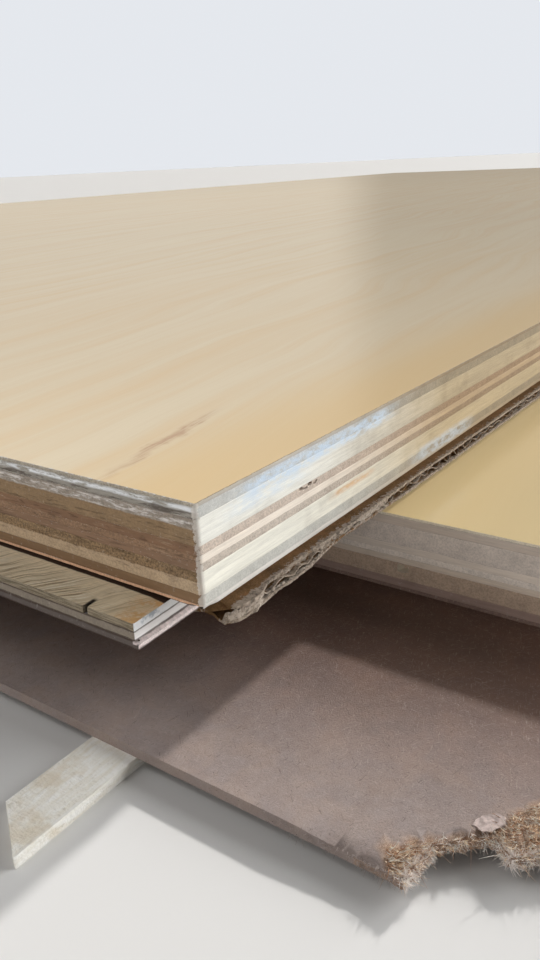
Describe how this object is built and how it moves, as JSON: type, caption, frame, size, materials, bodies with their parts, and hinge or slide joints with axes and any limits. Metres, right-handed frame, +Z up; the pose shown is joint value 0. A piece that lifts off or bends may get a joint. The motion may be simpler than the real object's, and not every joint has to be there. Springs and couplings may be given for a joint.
{
  "type": "stack of plywood sheets",
  "caption": "Stack of full-size plywood sheets, thick and thin, with a sheet of corrugated board between them and a broken hardboard on spacer strips below.",
  "frame": {"origin": "middle of the stack's box, on the floor", "axes": "+X along the sheets' length, away from the broken hardboard corner; +Y across the sheets; +Z up"},
  "size_m": [2.5364, 1.3138, 0.0477],
  "materials": {
    "maple_face": "clear coated maple veneer, glossy",
    "long_ply": "sawn edge of a core veneer that runs along the sheet",
    "cross_ply": "sawn edge of a veneer that runs across the sheet",
    "back_veneer": "bare reddish back veneer",
    "pine_face": "bare pine veneer with torn grain",
    "pale_veneer": "bare pale veneer with a splintered edge",
    "card": "brown kraft paper with torn edges",
    "hardboard": "pressed wood fibre, smooth face, torn along the break",
    "sawn_wood": "rough sawn softwood"
  },
  "bodies": {
    "root": {"top_face_veneer": "maple_face", "top_upper_crossband": "cross_ply", "top_upper_core": "long_ply", "top_upper_inner": "cross_ply", "top_centre_core": "long_ply", "top_lower_inner": "cross_ply", "top_lower_core": "long_ply", "top_lower_crossband": "cross_ply", "top_back_veneer": "back_veneer", "thin_face_veneer": "pine_face", "thin_middle_veneer": "cross_ply", "thin_back_veneer": "pale_veneer", "card_upper_liner": "card", "card_fluting": "card", "card_plain_core": "card", "card_lower_liner": "card", "second_face_veneer": "maple_face", "second_upper_crossband": "cross_ply", "second_upper_core": "long_ply", "second_upper_inner": "cross_ply", "second_centre_core": "long_ply", "second_lower_inner": "cross_ply", "second_lower_core": "long_ply", "second_lower_crossband": "cross_ply", "second_back_veneer": "back_veneer", "hardboard_sheet": "hardboard", "spacer_strips": "sawn_wood"}
  },
  "joints": []
}
